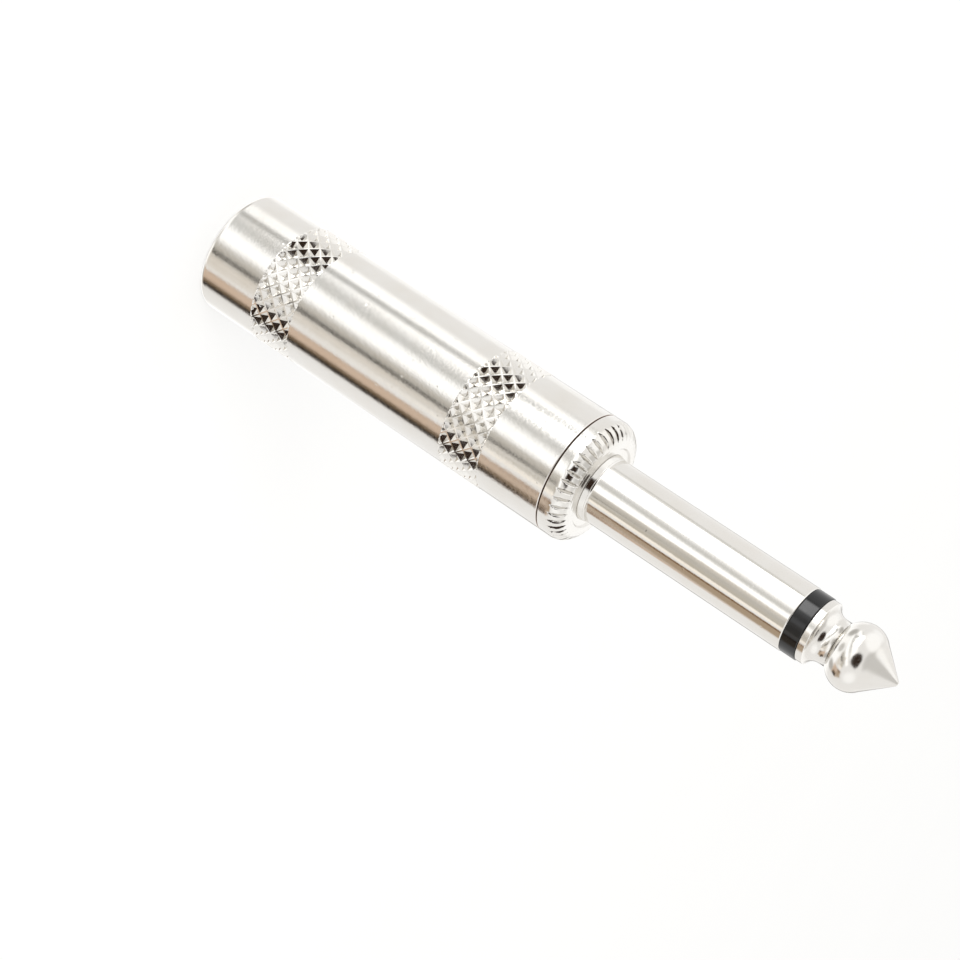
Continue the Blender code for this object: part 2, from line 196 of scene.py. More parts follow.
def corners(outline, size):
    """Rounds every corner of a closed outline of (radius, height) points.

    Each corner C becomes the curve (1-t)^2 A + 2t(1-t) C + t^2 B, where A and B lie on
    its two sides, a size away or 0.4 of the side if that is less. One more point stands
    just outside A and B, so that the flats beside a corner shade flat."""
    here = np.array(outline, dtype=float)
    back = np.roll(here, 1, axis=0) - here
    ahead = np.roll(here, -1, axis=0) - here
    t = np.linspace(0.0, 1.0, CORNER_STEPS + 1)[None, :, None]
    sides = []
    for side in (back, ahead):
        span = np.linalg.norm(side, axis=1, keepdims=True)
        cut = np.minimum(size, 0.4 * span)
        sides.append((here + side / span * cut, here + side / span * cut * 1.2))
    (a, a_out), (b, b_out) = sides
    curve = (
        (1 - t) ** 2 * a[:, None] + 2 * t * (1 - t) * here[:, None] + t**2 * b[:, None]
    )
    return np.concatenate([a_out[:, None], curve, b_out[:, None]], axis=1).reshape(-1, 2)


def fill_rows(outline, longest):
    """Adds points along a closed outline so that no step is longer than asked."""
    ends = np.roll(outline, -1, axis=0)
    spans = np.linalg.norm(ends - outline, axis=1)
    counts = np.maximum(1, np.ceil(spans / longest)).astype(int)
    start = np.repeat(np.arange(len(outline)), counts)
    step = np.arange(counts.sum()) - np.repeat(np.cumsum(counts) - counts, counts)
    part = (step / counts[start])[:, None]
    return outline[start] * (1 - part) + ends[start] * part


def arc(middle, radius, first, last, steps):
    """Points of a circle from one angle to another: 0 points outwards and 90 up."""
    turn = np.radians(np.linspace(first, last, steps + 1))
    across = middle[0] + radius * np.cos(turn)
    return np.stack([across, middle[1] + radius * np.sin(turn)], axis=1)


def upright(radius, heights):
    """Points of an outline that all have one radius."""
    return np.stack([np.full(len(heights), radius), heights], axis=1)


def revolve(name, radius, height, around, flip=None, closed=True, poles=False, turn=0.0):
    """A surface of revolution: x = r cos a, y = r sin a, z = h.

    radius and height are given for each row and column, so r may change with the
    angle a, which starts at turn. closed joins the last row to the first one. poles
    closes both ends with a fan about a point on the axis. flip marks the quads whose
    other diagonal is used, and rows with such quads are cut into triangles."""
    rows = radius.shape[0]
    angle = turn + np.arange(around) * (2 * np.pi / around)
    radius = np.broadcast_to(radius, (rows, around))
    height = np.broadcast_to(height, (rows, around))
    points = np.stack(
        [radius * np.cos(angle), radius * np.sin(angle), height], axis=-1
    ).reshape(-1, 3)
    last = rows if closed else rows - 1
    row = np.arange(last)[:, None]
    column = np.arange(around)[None, :]
    below = (row + 1) % rows
    beside = (column + 1) % around
    quads = np.stack(
        np.broadcast_arrays(
            row * around + column,
            below * around + column,
            below * around + beside,
            row * around + beside,
        ),
        axis=-1,
    ).reshape(-1, 4)
    loops = quads.ravel()
    counts = np.full(len(quads), 4)
    if flip is not None:
        turned = np.where(flip[:last].reshape(-1, 1), np.roll(quads, 1, axis=1), quads)
        cut = np.repeat(flip[:last].any(axis=1), around)
        triangles = turned[cut][:, [0, 1, 2, 0, 2, 3]]
        loops = np.concatenate([quads[~cut].ravel(), triangles.ravel()])
        counts = np.concatenate([np.full((~cut).sum(), 4), np.full(2 * cut.sum(), 3)])
    if poles:
        top = len(points)
        ends = np.array([[0.0, 0.0, height[0, 0]], [0.0, 0.0, height[-1, 0]]])
        points = np.concatenate([points, ends])
        c = np.arange(around)
        d = (c + 1) % around
        base = (rows - 1) * around
        upper = np.stack([np.full(around, top), c, d], axis=1)
        lower = np.stack([np.full(around, top + 1), base + d, base + c], axis=1)
        loops = np.concatenate([loops, upper.ravel(), lower.ravel()])
        counts = np.concatenate([counts, np.full(2 * around, 3)])
    mesh = bpy.data.meshes.new(name)
    mesh.vertices.add(len(points))
    mesh.vertices.foreach_set("co", (points * MM).ravel())
    mesh.loops.add(len(loops))
    mesh.loops.foreach_set("vertex_index", loops.astype(np.int32))
    mesh.polygons.add(len(counts))
    starts = np.cumsum(counts) - counts
    mesh.polygons.foreach_set("loop_start", starts.astype(np.int32))
    mesh.update(calc_edges=True)
    mesh.validate()
    mesh.shade_smooth()
    return mesh


def turned_ring(name, outline, edge, around, longest=3.0):
    """A ring or tube: a closed outline with rounded corners, turned about the axis."""
    rows = fill_rows(corners(outline, edge), longest)
    return revolve(name, rows[:, :1], rows[:, 1:], around)


def show(name, mesh, material, body, slot_name, *nodes):
    """Puts a finished mesh in the scene as one piece of the plug.

    A piece that is made again takes the place of the one before."""
    old = bpy.data.objects.get(name)
    if old is not None and old.type == "MESH" and old.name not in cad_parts:
        bpy.data.objects.remove(old, do_unlink=True)
    piece = bpy.data.objects.new(name, mesh)
    bpy.context.scene.collection.objects.link(piece)
    mesh.materials.append(material)
    bpy.context.view_layer.update()
    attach(piece, body)
    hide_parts(*nodes)


def ease(value, low, high):
    """0 below low, 1 above high, and 3t^2 - 2t^3 between them."""
    t = np.clip((value - low) / (high - low), 0.0, 1.0)
    return t * t * (3 - 2 * t)


def rise_and_fall(value, start, full, fade, end):
    """0 up to start, 1 from full to fade, and 0 from end on, eased between them."""
    return ease(value, start, full) * (1 - ease(value, fade, end))


def knurl_pits(columns, rows, land):
    """Depth of the knurl, from 0 on its crossing ridges to 1 at the pits' bottoms.

    columns and rows count half pitches around and along. The ridges run where
    rows + columns, or rows - columns, is odd. A pit's depth is the lesser distance to a
    ridge of either family, less half of the ridge's flat land."""
    first = np.abs((columns + rows) % 2 - 1)
    second = np.abs((columns - rows) % 2 - 1)
    return np.clip((np.minimum(first, second) - land) / (1 - land), 0.0, 1.0)


def shell_rows(cells, half_pitch):
    """The shell's outline of (radius, height) points, with the knurl's rows in it.

    It runs down the outside, round the rear edge, up through the cable hole, out over a
    cone to the bore, and up the bore and the thread. A half pitch of knurl has as many
    rows as there are cells."""
    edge = 0.08
    mouth = corners(
        [
            (THREAD_R + 0.3, SHELL_TOP),
            (BARREL_R - edge, SHELL_TOP),
            (BARREL_R, SHELL_TOP - edge),
            (BARREL_R, KNURL_BANDS[0][1]),
        ],
        0.03,
    )[CORNER_ROWS : 3 * CORNER_ROWS]
    bands = []
    beyond = np.array([0.16, 0.1, 0.06, 0.03, 0.0])
    for low, high, pit in KNURL_BANDS:
        first = math.ceil((low - pit) / half_pitch * cells)
        last = math.floor((high - pit) / half_pitch * cells)
        inner = pit + np.arange(last, first - 1, -1) * half_pitch / cells
        inner = inner[(inner > low + KNURL_STEP) & (inner < high - KNURL_STEP)]
        bands.append(upright(BARREL_R, np.concatenate([high + beyond, inner, low - beyond[::-1]])))
    plain = upright(BARREL_R, (28.0, 24.0, 20.0, 16.0, 13.0))
    rear_edge, hole_edge, hole_r, flat = 0.5, 0.25, 3.5, 0.12
    rear = np.concatenate(
        [
            upright(BARREL_R, (4.5, 2.0, rear_edge + flat)),
            arc((BARREL_R - rear_edge, rear_edge), rear_edge, 0, -90, 10),
            [(BARREL_R - rear_edge - flat, 0.0), (hole_r + hole_edge + flat, 0.0)],
            arc((hole_r + hole_edge, hole_edge), hole_edge, 270, 180, 6),
        ]
    )
    cone = [(hole_r, 2.2), (hole_r + 0.06, 2.36), (BORE_R - 0.12, 3.8), (BORE_R, 3.98)]
    bore = upright(BORE_R, (4.3, 20.0, SPIGOT_REAR - 1.1))
    thread = upright(THREAD_R, np.arange(SPIGOT_REAR - 0.6, SHELL_TOP - 0.02, 0.125))
    rim = [(THREAD_R + 0.27, SHELL_TOP)]
    return np.concatenate([mouth, bands[0], plain, bands[1], rear, cone, bore, thread, rim])


def thread_offset(shape, angle, height, low, high):
    """A right-handed thread: its depth times -cos(2 pi (h / pitch - turns)).

    It fades in above low and out below high."""
    wave = -np.cos(2 * np.pi * height / (shape.thread_pitch / MM) - angle)
    fading = rise_and_fall(height, low, low + 0.5, high - 0.4, high)
    return shape.thread_depth / MM * wave * fading


def shell_mesh(shape):
    """The shell: a tube whose outer radius falls away in two bands of diamond knurl.

    The radius at a knurled point is the ridges' less the depth times the pit's share of
    it, and the mouth's inner wall carries the thread. Quads whose ridge runs the other
    way are cut along their other diagonal."""
    cells = 8
    around = 2 * KNURL_AROUND * cells
    half_pitch = math.pi * BARREL_R / KNURL_AROUND
    outline = shell_rows(cells, half_pitch)
    height = outline[:, 1:]
    column = np.arange(around)[None, :]
    radius = np.repeat(outline[:, :1], around, axis=1)
    outer = outline[:, :1] == BARREL_R
    flip = np.zeros(radius.shape, dtype=bool)
    for low, high, pit in KNURL_BANDS:
        rows = (height - pit) / half_pitch
        pits = knurl_pits(column / cells, rows, shape.knurl_land)
        band = outer * rise_and_fall(
            height, low - KNURL_RUN_OUT, low + KNURL_STEP, high - KNURL_STEP, high + KNURL_RUN_OUT
        )
        radius = radius - (shape.knurl_depth / MM * pits - KNURL_RISE) * band
        middle = np.floor(rows - 0.5 / cells) + np.floor((column + 0.5) / cells)
        flip |= (middle % 2 == 1) & (band > 0)
    angle = column * 2 * np.pi / around
    cut = thread_offset(shape, angle, height, SPIGOT_REAR - 0.5, SHELL_TOP - 0.05)
    radius = radius + (outline[:, :1] == THREAD_R) * cut
    mesh = revolve("shell_turned", radius, height, around, flip=flip)
    mesh.set_sharp_from_angle(angle=SHARP_EDGE)
    return mesh


def collar_rows(shoulder_r, middle):
    """The collar's outline: shoulder, side, rear face, relief, threaded spigot, inside."""
    shoulder = arc(middle, shoulder_r, 92, 0, 34)
    side = upright(BARREL_R, np.linspace(middle[1], COLLAR_REAR + 0.06, 5)[1:])
    relief_r = THREAD_R - 0.45
    behind = corners(
        [
            (BARREL_R, COLLAR_REAR + 0.4),
            (BARREL_R, COLLAR_REAR),
            (relief_r, COLLAR_REAR),
            (relief_r, COLLAR_REAR - 0.8),
        ],
        0.05,
    )[CORNER_ROWS + 1 : 3 * CORNER_ROWS]
    relief = [(relief_r, COLLAR_REAR - 0.62)]
    thread = upright(THREAD_R - THREAD_GAP, np.arange(COLLAR_REAR - 0.95, SPIGOT_REAR + 0.1, -0.12))
    counterbore_r, bore_r, recess = 3.95, 3.34, LIP_TOP - 0.18
    inside = corners(
        [
            (THREAD_R - 0.4, SPIGOT_REAR + 0.3),
            (relief_r, SPIGOT_REAR),
            (counterbore_r, SPIGOT_REAR),
            (counterbore_r, COUNTERBORE_TOP),
            (bore_r, COUNTERBORE_TOP),
            (bore_r, recess),
            (counterbore_r, recess),
            (4.12, LIP_TOP),
            (LIP_R, LIP_TOP),
        ],
        0.04,
    )[CORNER_ROWS + 1 : 2 - CORNER_ROWS]
    return np.concatenate([shoulder, side, behind, relief, thread, inside])


def collar_mesh(shape):
    """The collar: flutes sunk square to its rounded shoulder, and a threaded spigot.

    A flute is a V with level sides and pointed ends. Its depth is its full depth times
    (e - x), and never below 0: x is the distance from its middle over half its width, and
    e eases from 0 to 1 and back along it. A shallow groove parts the flutes from the rim."""
    per_flute = 16
    around = FLUTES * per_flute
    shoulder_r = 1.56
    middle = (BARREL_R - shoulder_r, LIP_TOP - 0.02 - shoulder_r)
    outline = collar_rows(shoulder_r, middle)
    plain_radius, plain_height = outline[:, :1], outline[:, 1:]
    column = np.arange(around)[None, :]

    # How far a point lies up the shoulder from its foot, in degrees and in millimetres.
    on_shoulder = plain_height > middle[1]
    arc_deg = np.degrees(np.arctan2(plain_height - middle[1], plain_radius - middle[0]))
    run = np.where(on_shoulder, np.radians(arc_deg) * shoulder_r, plain_height - middle[1])
    outer = (plain_height > COLLAR_REAR + 0.05) & (plain_radius > LIP_R)
    ends = rise_and_fall(run, 0.0, 0.75, 1.5, 2.15) * outer
    across = (column / per_flute) % 1.0 - 0.5
    groove = np.clip(ends - np.abs(across) * 2 / shape.flute_width, 0.0, 1.0)
    rim = 0.02 * rise_and_fall(run, 1.95, 2.1, 2.1, 2.3) * outer
    depth = np.maximum(shape.flute_depth / MM * groove, rim)
    tilt = np.radians(np.clip(arc_deg, 0.0, 90.0)) * on_shoulder
    height = plain_height - depth * np.sin(tilt)

    angle = FLUTE_TURN + column * 2 * np.pi / around
    cut = thread_offset(shape, angle, plain_height, SPIGOT_REAR + 0.1, COLLAR_REAR - 0.95)
    threaded = plain_radius == THREAD_R - THREAD_GAP
    radius = plain_radius - depth * np.cos(tilt) + threaded * cut
    mesh = revolve("collar_turned", radius, height, around, turn=FLUTE_TURN)
    mesh.set_sharp_from_angle(angle=SHARP_EDGE)
    return mesh


def sleeve_mesh():
    """The finger's tube: its outline turned about the axis, with small edge radii.

    Its foot widens in two steep cones, with a hair-fine groove between them, down to a
    seat in the collar's lip. Under the seat come the shank and a flange with a cone behind
    it, and the bore runs through."""
    top = RING_LOW - 0.02
    foot = SHELL_TOP + 3.1
    seat = LIP_TOP - 0.17
    flange = COUNTERBORE_TOP - 0.12
    shank_r, flange_r, bore_r = 3.28, 3.8, 2.25
    outline = [
        (FINGER_R - 0.06, top),
        (FINGER_R, top - 0.07),
        (FINGER_R, foot),
        (3.23, foot - 0.15),
        (3.215, foot - 0.17),
        (3.245, foot - 0.2),
        (3.4, seat),
        (shank_r, seat),
        (shank_r, flange),
        (flange_r, flange),
        (flange_r, flange - 0.35),
        (shank_r, flange - 0.75),
        (bore_r, flange - 0.75),
        (bore_r, top),
    ]
    return turned_ring("sleeve_turned", outline, 0.05, 160, longest=2.0)


def tip_mesh():
    """The tip and rod: point, cone, ball, neck and disc on one outline, turned.

    The ball's arc meets the cone at the cone's slope and ends at the neck's radius, where
    the hollow's arc takes over. The rod ends in a rivet's head."""
    point_r, ball_r, neck_r, hollow_r = 0.35, 2.2, 2.2, 1.2
    widest, slope = 3.16, 48
    disc_r, disc_top = 3.04, TIP_BASE + 0.68
    ball = (widest - ball_r, SHELL_TOP + 30.0)
    neck_deg = -math.degrees(math.acos((neck_r - ball[0]) / ball_r))
    hollow = (neck_r + hollow_r, disc_top + 1.13)
    point = arc((0.0, TIP_TOP - point_r), point_r, 88, slope, 8)
    swell = arc(ball, ball_r, slope, neck_deg, 48)
    cone = np.linspace(point[-1], swell[0], 16)[1:-1]
    waist = arc(hollow, hollow_r, 180, 250, 16)
    disc = corners(
        [tuple(waist[-1]), (disc_r, disc_top), (disc_r, TIP_BASE), (ROD_R, TIP_BASE)], 0.07
    )[CORNER_ROWS + 1 : 3 * CORNER_ROWS]
    rod = np.linspace((ROD_R, TIP_BASE), (ROD_R, RIVET_TOP), 14)
    bulge, brim = 0.65, RIVET_TOP - 0.05
    head = np.concatenate(
        [
            [(ROD_R + bulge, RIVET_TOP), (ROD_R + bulge, brim)],
            arc((ROD_R, brim), bulge, 0, -80, 8),
            [(0.9, brim - 0.67), (0.4, brim - 0.72), (0.1, brim - 0.73)],
        ]
    )
    rows = np.concatenate([point, cone, swell, waist[1:], disc, rod, head])
    return revolve("tip_turned", rows[:, :1], rows[:, 1:], 160, closed=False, poles=True)


def ring_mesh():
    """The black ring and the tube behind it, turned, with a broken edge each side."""
    ring_r, tube_r = 3.12, 2.17
    tube_end = SPIGOT_REAR + 1.7
    outline = [
        (ring_r, RING_TOP),
        (ring_r, RING_LOW),
        (tube_r, RING_LOW),
        (tube_r, tube_end),
        (ROD_HOLE_R, tube_end),
        (ROD_HOLE_R, RING_TOP),
    ]
    return turned_ring("ring_turned", outline, 0.07, 128)


def bush_mesh():
    """The brown fibre bush: a tube on the rod with a flange behind it, turned."""
    tube_r, flange_r = 2.18, 3.2
    tube_top = SPIGOT_REAR + 1.45
    flange_low = FLANGE_TOP - FLANGE_THICK
    outline = [
        (tube_r, tube_top),
        (tube_r, FLANGE_TOP),
        (flange_r, FLANGE_TOP),
        (flange_r, flange_low),
        (ROD_HOLE_R, flange_low),
        (ROD_HOLE_R, tube_top),
    ]
    return turned_ring("bush_turned", outline, 0.05, 96)


def washer_mesh():
    """The washer under the rivet, turned, with pressed edges."""
    low = WASHER_TOP - WASHER_THICK
    washer_r = 2.2
    outline = [(washer_r, WASHER_TOP), (washer_r, low), (ROD_HOLE_R, low), (ROD_HOLE_R, WASHER_TOP)]
    return turned_ring("washer_turned", outline, 0.09, 96)


def liner_mesh():
    """The liner: a thin tube with cut ends."""
    top, low = SPIGOT_REAR - 0.2, 4.25
    outer_r, inner_r = 4.84, 4.48
    outline = [(outer_r, top), (outer_r, low), (inner_r, low), (inner_r, top)]
    return turned_ring("liner_drawn", outline, 0.06, 128)


# Materials

MIX_COLOURS = {"data_type": "RGBA"}
SMOOTH_STEP = {"interpolation_type": "SMOOTHSTEP"}


def add_node(tree, kind, settings=None, **sockets):
    """Adds a node, sets its properties, and sets or links its sockets.

    A socket's name is written with _ for spaces, or i0, i1 for its number. A colour is
    given as its three linear parts."""
    node = tree.nodes.new(kind)
    for key, value in (settings or {}).items():
        setattr(node, key, value)
    for key, value in sockets.items():
        number = key[1:].isdigit() and key[0] == "i"
        socket = node.inputs[int(key[1:])] if number else node.inputs[key.replace("_", " ")]
        if isinstance(value, bpy.types.NodeSocket):
            tree.links.new(value, socket)
        elif socket.type == "RGBA":
            socket.default_value = (*value, 1.0)
        else:
            socket.default_value = value
    return node


def new_material(name):
    """A node material with no nodes yet, and its tree."""
    made = bpy.data.materials.new(name)
    made.use_nodes = True
    made.node_tree.nodes.clear()
    return made, made.node_tree


def in_millimetres(tree, stretch=(1.0, 1.0, 1.0)):
    """The piece's own coordinates in millimetres, stretched along each axis."""
    place = add_node(tree, "ShaderNodeTexCoord").outputs["Object"]
    scale = [part / MM for part in stretch]
    return add_node(tree, "ShaderNodeMapping", Vector=place, Scale=scale).outputs[0]


def window(tree, value, middle, half_width, soft):
    """1 where a value is within half a width of the middle, 0 outside, and eased between
    them over a soft edge."""
    offset = add_node(tree, "ShaderNodeMath", {"operation": "SUBTRACT"}, i0=value, i1=middle)
    away = add_node(tree, "ShaderNodeMath", {"operation": "ABSOLUTE"}, i0=offset.outputs[0])
    return add_node(
        tree,
        "ShaderNodeMapRange",
        SMOOTH_STEP,
        Value=away.outputs[0],
        From_Min=half_width + soft / 2,
        From_Max=half_width - soft / 2,
    ).outputs[0]


def bright_nickel_plate(name, finish, roughness, dents, lines):
    """Bright nickel on turned brass, polished and barrel-plated.

    To the eye: a warm silver mirror, softened by faint turning lines round the axis
    (0.12 mm apart), shallow dents from tumbling (0.3 mm) and a few nicks. Where shell and
    collar meet, a hair-thin line is painted dark brown as shade in the gap between them.
    dents and lines say how strong those two are."""
    made, tree = new_material(name)
    flat = in_millimetres(tree)
    line_gap = 0.12
    rings = in_millimetres(tree, (line_gap, line_gap, 1.0))
    turning, dent, patch, grain = (
        add_node(
            tree, "ShaderNodeTexNoise", Vector=place, Scale=1.0 / size, Detail=3.0, Roughness=rough
        ).outputs["Fac"]
        for place, size, rough in (
            (rings, line_gap, 0.6),
            (flat, 0.28, 0.65),
            (flat, 3.2, 0.6),
            (flat, 0.16, 0.65),
        )
    )
    aged = add_node(
        tree, "ShaderNodeMapRange", Value=patch, From_Min=0.35, From_Max=0.75, To_Max=0.7
    )
    tint = add_node(
        tree,
        "ShaderNodeMix",
        MIX_COLOURS,
        i0=aged.outputs[0],
        i6=finish.nickel,
        i7=finish.nickel_warm,
    )
    height = add_node(tree, "ShaderNodeSeparateXYZ", Vector=flat).outputs["Z"]
    # Painted shade: a hair-thin band round the joint of shell and collar is mixed towards dark
    # brown, standing in for the shade in the gap between them.
    seam_shade = window(tree, height, (SHELL_TOP + COLLAR_REAR) / 2, 0.09, 0.04)
    plating = add_node(
        tree, "ShaderNodeMix", MIX_COLOURS, i0=seam_shade, i6=tint.outputs[2], i7=linear("#8E7464")
    )
    rough = add_node(
        tree,
        "ShaderNodeMapRange",
        Value=grain,
        From_Min=0.3,
        From_Max=0.75,
        To_Min=roughness * 0.75,
        To_Max=roughness * 1.5,
    )
    nick_spacing = 1.4
    spots = add_node(tree, "ShaderNodeTexVoronoi", Vector=flat, Scale=1.0 / nick_spacing)
    nick = add_node(
        tree,
        "ShaderNodeMapRange",
        Value=spots.outputs["Distance"],
        From_Min=0.04,
        From_Max=0.09,
    )
    normal = {}
    for relief, depth, strength in (
        (dent, 0.008, dents),
        (turning, 0.0012, lines),
        (nick.outputs[0], 0.012, dents),
    ):
        bump = add_node(
            tree, "ShaderNodeBump", Height=relief, Distance=depth * MM, Strength=strength, **normal
        )
        normal = {"Normal": bump.outputs[0]}
    shader = add_node(
        tree,
        "ShaderNodeBsdfPrincipled",
        Base_Color=plating.outputs[2],
        Metallic=1.0,
        Roughness=rough.outputs[0],
        **normal,
    )
    add_node(tree, "ShaderNodeOutputMaterial", Surface=shader.outputs[0])
    return made


def polished_black_plastic(finish):
    """Black acetal, turned and polished: glossy, with fine turning rings (0.1 mm apart)
    and a haze of dust grey."""
    made, tree = new_material("polished_black_acetal")
    line_gap = 0.1
    rings = in_millimetres(tree, (line_gap, line_gap, 1.0))
    turning = add_node(
        tree, "ShaderNodeTexNoise", Vector=rings, Scale=1.0 / line_gap, Detail=2.0, Roughness=0.5
    )
    haze = add_node(
        tree,
        "ShaderNodeTexNoise",
        Vector=in_millimetres(tree),
        Scale=1.0 / 0.5,
        Detail=3.0,
        Roughness=0.6,
    ).outputs["Fac"]
    rough = add_node(
        tree, "ShaderNodeMapRange", Value=haze, From_Min=0.3, From_Max=0.8, To_Min=0.1, To_Max=0.2
    )
    tint = add_node(
        tree, "ShaderNodeMix", MIX_COLOURS, i0=haze, i6=finish.ring, i7=linear("#131315")
    )
    bump = add_node(
        tree, "ShaderNodeBump", Height=turning.outputs["Fac"], Distance=0.004 * MM, Strength=0.3
    )
    shader = add_node(
        tree,
        "ShaderNodeBsdfPrincipled",
        Base_Color=tint.outputs[2],
        Roughness=rough.outputs[0],
        IOR=1.48,
        Normal=bump.outputs[0],
    )
    add_node(tree, "ShaderNodeOutputMaterial", Surface=shader.outputs[0])
    return made


def brown_fibre(finish):
    """Vulcanised fibre: brown, matte, with strands 0.3 mm across that lie flat, in layers
    0.1 mm thick."""
    made, tree = new_material("vulcanised_fibre")
    strand = add_node(
        tree,
        "ShaderNodeTexNoise",
        Vector=in_millimetres(tree, (1.0, 1.0, 3.0)),
        Scale=1.0 / 0.3,
        Detail=4.0,
        Roughness=0.7,
    ).outputs["Fac"]
    tint = add_node(
        tree, "ShaderNodeMix", MIX_COLOURS, i0=strand, i6=linear("#3E2216"), i7=finish.fibre
    )
    bump = add_node(tree, "ShaderNodeBump", Height=strand, Distance=0.02 * MM, Strength=0.6)
    shader = add_node(
        tree,
        "ShaderNodeBsdfPrincipled",
        Base_Color=tint.outputs[2],
        Roughness=0.62,
        Normal=bump.outputs[0],
    )
    add_node(tree, "ShaderNodeOutputMaterial", Surface=shader.outputs[0])
    return made


def tinned_brass(finish):
    """Hot-tinned brass sheet: grey-white metal with soft flow marks (1.1 mm across) and
    fine dull patches (0.14 mm)."""
    made, tree = new_material("hot_tinned_brass")
    flow, speck = (
        add_node(
            tree,
            "ShaderNodeTexNoise",
            Vector=in_millimetres(tree),
            Scale=1.0 / size,
            Detail=3.0,
            Roughness=rough,
        ).outputs["Fac"]
        for size, rough in ((1.1, 0.55), (0.14, 0.7))
    )
    rough = add_node(
        tree, "ShaderNodeMapRange", Value=flow, From_Min=0.3, From_Max=0.7, To_Min=0.24, To_Max=0.5
    )
    dull = add_node(
        tree, "ShaderNodeMapRange", Value=speck, From_Min=0.55, From_Max=0.8, To_Max=0.8
    )
    tint = add_node(
        tree, "ShaderNodeMix", MIX_COLOURS, i0=dull.outputs[0], i6=finish.tin, i7=linear("#B9B4A6")
    )
    bump = add_node(tree, "ShaderNodeBump", Height=flow, Distance=0.03 * MM, Strength=0.4)
    shader = add_node(
        tree,
        "ShaderNodeBsdfPrincipled",
        Base_Color=tint.outputs[2],
        Metallic=1.0,
        Roughness=rough.outputs[0],
        Normal=bump.outputs[0],
    )
    add_node(tree, "ShaderNodeOutputMaterial", Surface=shader.outputs[0])
    return made


def milky_liner(finish):
    """Drawn polyethylene tube: milky, soft sheen, with faint draw lines along it (0.3 mm
    apart)."""
    made, tree = new_material("drawn_polyethylene")
    line = add_node(
        tree,
        "ShaderNodeTexNoise",
        Vector=in_millimetres(tree, (1.0, 1.0, 0.06)),
        Scale=1.0 / 0.3,
        Detail=3.0,
        Roughness=0.6,
    ).outputs["Fac"]
    tint = add_node(
        tree, "ShaderNodeMix", MIX_COLOURS, i0=line, i6=finish.liner, i7=linear("#C3C7C5")
    )
    bump = add_node(tree, "ShaderNodeBump", Height=line, Distance=0.01 * MM, Strength=0.5)
    shader = add_node(
        tree,
        "ShaderNodeBsdfPrincipled",
        Base_Color=tint.outputs[2],
        Roughness=0.38,
        IOR=1.51,
        Subsurface_Weight=0.25,
        Subsurface_Radius=(1.0, 1.0, 1.0),
        Subsurface_Scale=0.4 * MM,
        Normal=bump.outputs[0],
    )
    add_node(tree, "ShaderNodeOutputMaterial", Surface=shader.outputs[0])
    return made


# The studio

# What the metal shows of the room, as strips of light and dark. Each has the axis it runs
# along, its bearing round that axis, half its width, how soft its edges are, where along
# the axis it starts and ends, its level and its tint, with all angles in degrees. A later
# one covers those before it. Walls stand along the plug, and their ends are heights above
# the horizon. Lamps run across the room, over the plug, and their ends are angles from
# their axis.
STRIPS = (
    ("walls", -158.0, 24.0, 10.0, -60.0, -20.3, 1.2, "#FFFFFF"),
    ("lamps", -5.5, 11.0, 4.0, 60.0, 163.0, 1.5, "#FFFFFF"),
    ("walls", -46.5, 20.0, 9.0, -18.6, -3.0, 5.0, "#FFFFFF"),
    ("lamps", -25.0, 3.5, 4.0, 140.0, 158.0, 0.85, "#F8F7F3"),
    ("walls", -58.5, 6.0, 8.0, -60.0, -20.3, 0.64, "#F7F6F3"),
    ("lamps", 12.2, 3.8, 6.0, 98.0, 140.0, 0.7, "#F8F7F3"),
    ("lamps", 11.6, 3.0, 6.0, 80.0, 98.0, 0.8, "#F8F7F3"),
    ("lamps", 22.2, 6.4, 3.0, 40.0, 150.0, 1.5, "#FFFFFF"),
    ("lamps", 28.5, 3.8, 5.0, 60.0, 70.5, 0.85, "#F8F0E4"),
    ("lamps", 38.4, 7.4, 7.0, 48.0, 90.0, 0.69, "#F8F2E8"),
    ("lamps", 49.5, 6.0, 3.0, 44.0, 58.0, 0.68, "#F8F0E2"),
    ("lamps", 43.2, 3.2, 3.0, 61.0, 80.0, 0.08, "#F6F0E6"),
    ("lamps", 58.5, 12.4, 3.0, 59.5, 80.0, 1.0, "#FDF7EF"),
    ("lamps", 50.5, 0.8, 1.5, 59.5, 75.0, 0.72, "#F3E6D4"),
    ("lamps", 57.5, 0.8, 1.5, 59.5, 75.0, 0.7, "#F3E6D4"),
    ("lamps", 63.5, 0.6, 1.2, 59.5, 75.0, 0.72, "#F3E6D4"),
    ("lamps", 59.5, 4.6, 3.0, 40.0, 56.0, 1.25, "#FFF8EE"),
    ("lamps", 94.0, 19.5, 5.0, 50.0, 75.0, 0.78, "#FFE3CB"),
    ("lamps", 92.0, 18.0, 10.0, 36.0, 50.0, 0.5, "#FFE4C4"),
    ("lamps", 76.6, 3.8, 3.0, 36.0, 50.0, 0.24, "#FFC890"),
    ("lamps", 76.0, 1.2, 2.0, 50.0, 75.0, 0.55, "#FFDEBE"),
    ("walls", 91.8, 8.0, 5.0, -34.0, -20.3, 0.22, "#F4D0A8"),
    ("walls", 96.0, 4.8, 3.0, -34.0, -20.3, 0.015, "#F0C8A0"),
    ("walls", 108.6, 7.4, 3.0, -45.0, -20.3, 1.06, "#FCFBFA"),
    ("walls", 165.0, 6.5, 7.0, -50.0, 12.0, 0.46, "#F4F1EC"),
    ("walls", -168.0, 5.5, 7.0, -50.0, 12.0, 0.5, "#F4F1EC"),
)
